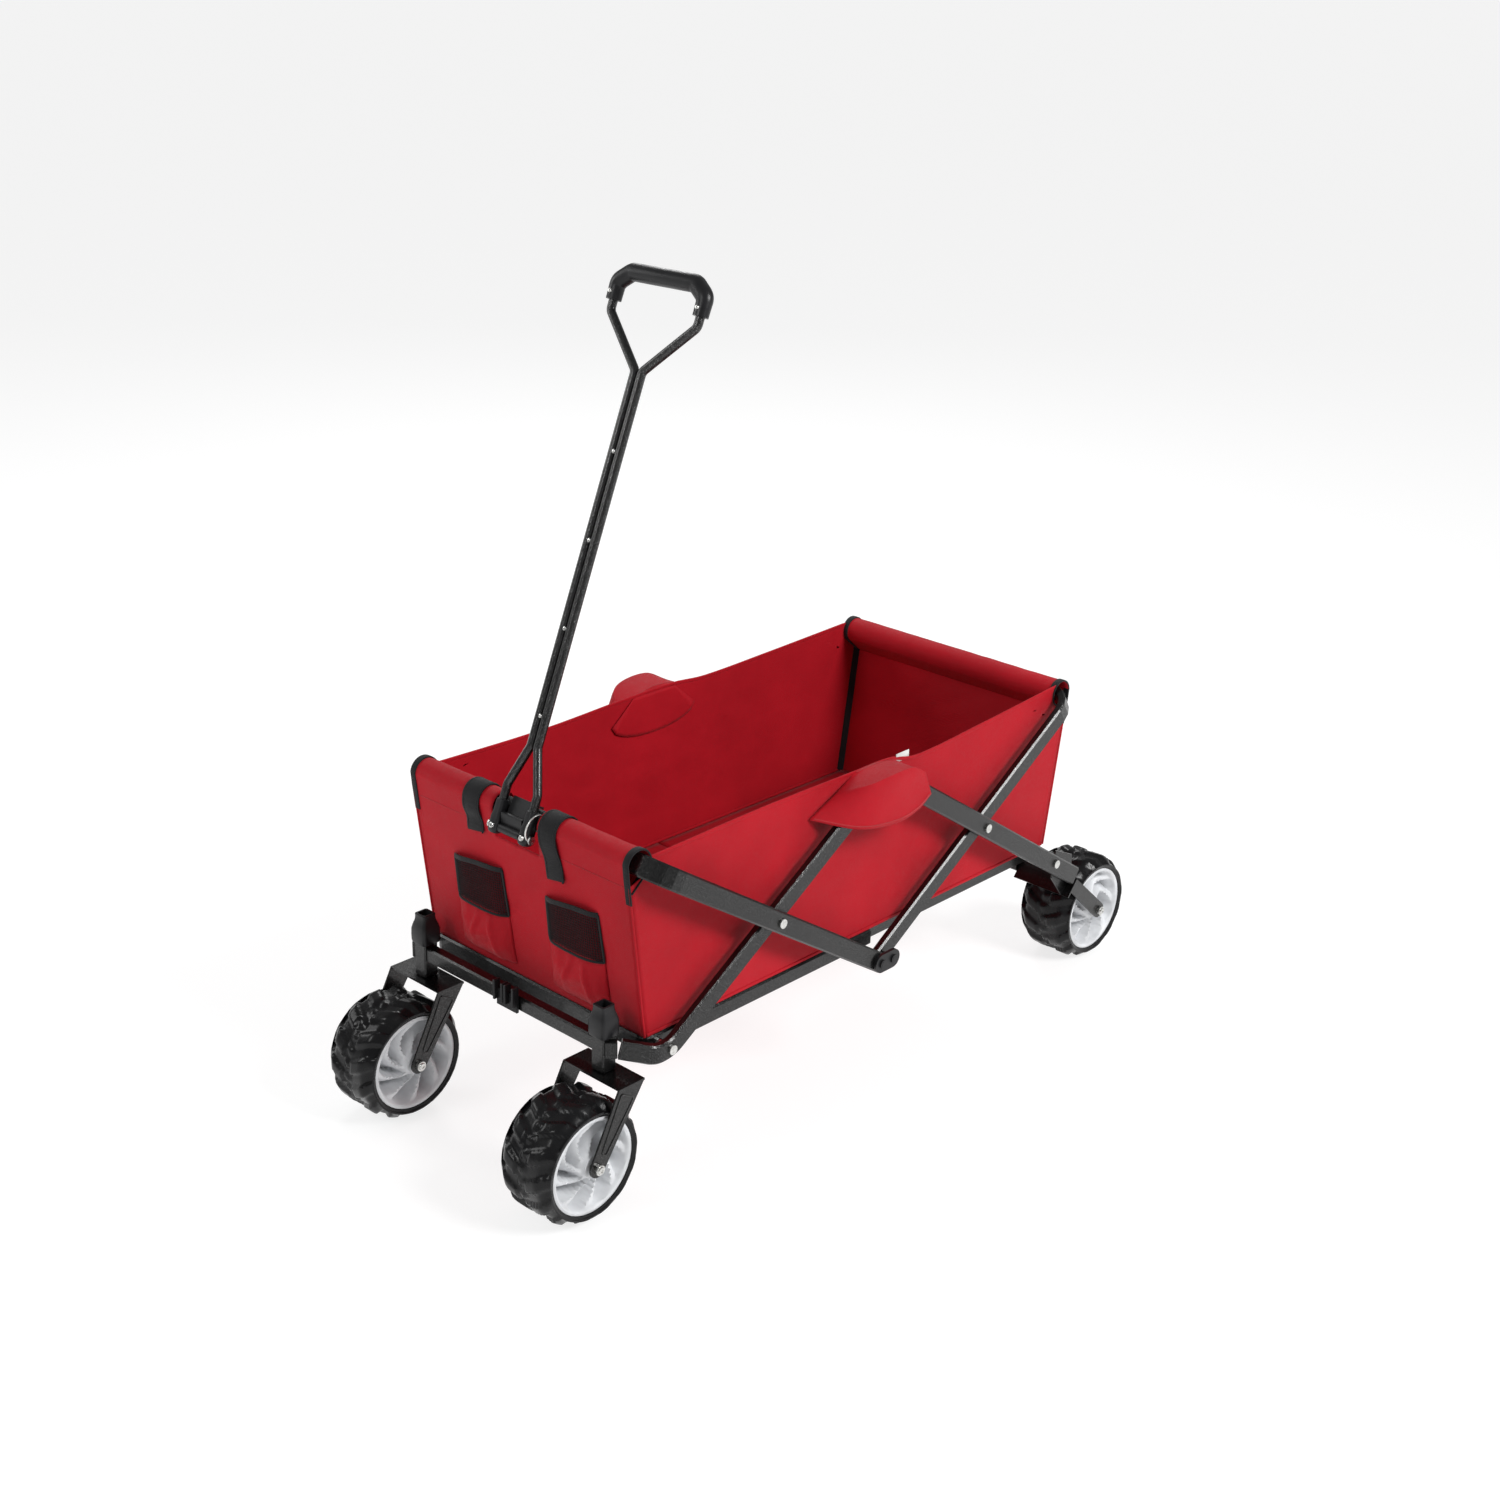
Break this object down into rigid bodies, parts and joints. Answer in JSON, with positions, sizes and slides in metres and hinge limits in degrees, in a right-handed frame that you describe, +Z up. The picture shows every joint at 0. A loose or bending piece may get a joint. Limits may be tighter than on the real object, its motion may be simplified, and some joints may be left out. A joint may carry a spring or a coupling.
{
  "type": "folding camp wagon",
  "caption": "Folding utility wagon with a scissor frame, a fabric tub, wide wheels, front swivel casters and a swing-up pull handle.",
  "frame": {"origin": "on the ground, below the middle of the whole wagon's box", "axes": "+X from the pull handle's end to the fixed rear wheels, +Z up, +Y across to the wagon's right side"},
  "size_m": [1.301, 0.5416, 1.1854],
  "materials": {
    "frame_steel": "dark hammertone powder coat, semi-gloss",
    "handle_steel": "glossy black enamel",
    "black_plastic": "black moulded plastic, satin",
    "zinc": "bright zinc plate",
    "tyre": "black moulded tyre, glossy",
    "rim": "light grey moulded plastic",
    "red_fabric": "red woven polyester, coated",
    "black_webbing": "black woven webbing and binding",
    "black_mesh": "black knitted mesh"
  },
  "bodies": {
    "centre_links": {"lower_centre_link_left": "black_plastic", "lower_centre_link_right": "black_plastic", "tub_side_left": "red_fabric", "tub_side_right": "red_fabric"},
    "front_top": {"front_top_frame": "frame_steel", "handle_bracket": "black_plastic", "handle_pin": "zinc", "cross_rivet_front_left": "zinc", "cross_rivet_front_right": "zinc"},
    "rear_top": {"rear_top_frame": "frame_steel", "cross_rivet_rear_left": "zinc", "cross_rivet_rear_right": "zinc"},
    "front_lower": {"front_lower_bar_left": "frame_steel", "front_lower_bar_right": "frame_steel", "caster_crossbar": "frame_steel", "handle_clip": "black_plastic", "pole_socket_left": "black_plastic", "pole_socket_right": "black_plastic", "base_rivet_front_left": "zinc", "base_rivet_front_right": "zinc"},
    "rear_lower": {"rear_lower_bar_left": "frame_steel", "rear_lower_bar_right": "frame_steel", "rear_fork_left": "frame_steel", "rear_fork_right": "frame_steel", "rear_crossbar": "frame_steel", "base_rivet_rear_left": "zinc", "base_rivet_rear_right": "zinc", "rear_wheel_left_axle_bolt": "zinc", "rear_wheel_right_axle_bolt": "zinc"},
    "upper_links": {"upper_centre_link_left": "black_plastic", "upper_centre_link_right": "black_plastic", "pivot_flap_left": "red_fabric", "pivot_flap_right": "red_fabric"},
    "front_base": {"front_base_frame": "frame_steel", "tub_floor_front": "red_fabric"},
    "rear_base": {"rear_base_frame": "frame_steel", "middle_tie_bar": "frame_steel", "tub_floor_rear": "red_fabric"},
    "front_panel": {"tub_front_panel": "red_fabric", "front_pocket_left": "red_fabric", "front_pocket_right": "red_fabric"},
    "rear_panel": {"tub_rear_panel": "red_fabric"},
    "handle": {"handle_socket_left": "black_plastic", "handle_socket_right": "black_plastic", "handle_tube_left": "handle_steel", "handle_tube_right": "handle_steel", "handle_grip": "black_plastic"},
    "caster_left": {"caster_fork_left": "frame_steel", "front_wheel_left_axle_bolt": "zinc"},
    "caster_right": {"caster_fork_right": "frame_steel", "front_wheel_right_axle_bolt": "zinc"},
    "front_wheel_left": {"front_wheel_left_tyre": "tyre", "front_wheel_left_rim": "rim"},
    "front_wheel_right": {"front_wheel_right_tyre": "tyre", "front_wheel_right_rim": "rim"},
    "rear_wheel_left": {"rear_wheel_left_tyre": "tyre", "rear_wheel_left_rim": "rim"},
    "rear_wheel_right": {"rear_wheel_right_tyre": "tyre", "rear_wheel_right_rim": "rim"}
  },
  "joints": [
    {"name": "fold", "type": "hinge", "parent": "centre_links", "child": "front_top", "pos_m": [-0.0203, 0, 0.2023], "axis": [0, 1, 0], "range_deg": [0, 40], "deforming": ["tub_front_panel", "tub_rear_panel", "tub_side_left", "tub_side_right", "tub_floor_front", "tub_floor_rear", "front_pocket_left", "front_pocket_right", "pivot_flap_left", "pivot_flap_right"]},
    {"name": "rear_fold", "type": "hinge", "parent": "centre_links", "child": "rear_top", "pos_m": [0.0047, 0, 0.2023], "axis": [0, -1, 0], "range_deg": [0, 40]},
    {"name": "front_cross", "type": "hinge", "parent": "front_top", "child": "front_lower", "pos_m": [-0.23924, 0, 0.34215], "axis": [0, -1, 0], "range_deg": [0, 80]},
    {"name": "rear_cross", "type": "hinge", "parent": "rear_top", "child": "rear_lower", "pos_m": [0.22364, 0, 0.34215], "axis": [0, 1, 0], "range_deg": [0, 80]},
    {"name": "upper_pivot", "type": "hinge", "parent": "front_lower", "child": "upper_links", "pos_m": [-0.0203, 0, 0.482], "axis": [0, 1, 0], "range_deg": [0, 40]},
    {"name": "front_base_hinge", "type": "hinge", "parent": "front_lower", "child": "front_base", "pos_m": [-0.4348, 0, 0.2195], "axis": [0, -1, 0], "range_deg": [0, 28]},
    {"name": "rear_base_hinge", "type": "hinge", "parent": "rear_lower", "child": "rear_base", "pos_m": [0.4192, 0, 0.2195], "axis": [0, 1, 0], "range_deg": [0, 28]},
    {"name": "front_panel_hang", "type": "hinge", "parent": "front_top", "child": "front_panel", "pos_m": [-0.4704, 0, 0.4898], "axis": [0, -1, 0], "range_deg": [0, 40]},
    {"name": "rear_panel_hang", "type": "hinge", "parent": "rear_top", "child": "rear_panel", "pos_m": [0.4548, 0, 0.4898], "axis": [0, 1, 0], "range_deg": [0, 40]},
    {"name": "handle_swing", "type": "hinge", "parent": "front_top", "child": "handle", "pos_m": [-0.49679, 0, 0.47324], "axis": [0, -1, 0], "range_deg": [0, 148]},
    {"name": "caster_swivel_left", "type": "hinge", "parent": "front_lower", "child": "caster_left", "pos_m": [-0.5005, -0.1842, 0.2], "axis": [0, 0, 1], "continuous": true},
    {"name": "caster_swivel_right", "type": "hinge", "parent": "front_lower", "child": "caster_right", "pos_m": [-0.5005, 0.1842, 0.2], "axis": [0, 0, 1], "continuous": true},
    {"name": "front_wheel_spin_left", "type": "hinge", "parent": "caster_left", "child": "front_wheel_left", "pos_m": [-0.5615, -0.1842, 0.089], "axis": [0, 1, 0], "continuous": true},
    {"name": "rear_wheel_spin_left", "type": "hinge", "parent": "rear_lower", "child": "rear_wheel_left", "pos_m": [0.5615, -0.2049, 0.089], "axis": [0, 1, 0], "continuous": true},
    {"name": "front_wheel_spin_right", "type": "hinge", "parent": "caster_right", "child": "front_wheel_right", "pos_m": [-0.5615, 0.1842, 0.089], "axis": [0, 1, 0], "continuous": true},
    {"name": "rear_wheel_spin_right", "type": "hinge", "parent": "rear_lower", "child": "rear_wheel_right", "pos_m": [0.5615, 0.2049, 0.089], "axis": [0, 1, 0], "continuous": true}
  ],
  "couplings": [
    {"joint": "rear_fold", "follows": "fold", "ratio": 1},
    {"joint": "front_cross", "follows": "fold", "ratio": 2},
    {"joint": "rear_cross", "follows": "fold", "ratio": 2},
    {"joint": "upper_pivot", "follows": "fold", "ratio": 1},
    {"joint": "front_base_hinge", "follows": "fold", "ratio": 0.6952},
    {"joint": "rear_base_hinge", "follows": "fold", "ratio": 0.6952},
    {"joint": "front_panel_hang", "follows": "fold", "ratio": 1},
    {"joint": "rear_panel_hang", "follows": "fold", "ratio": 1}
  ]
}
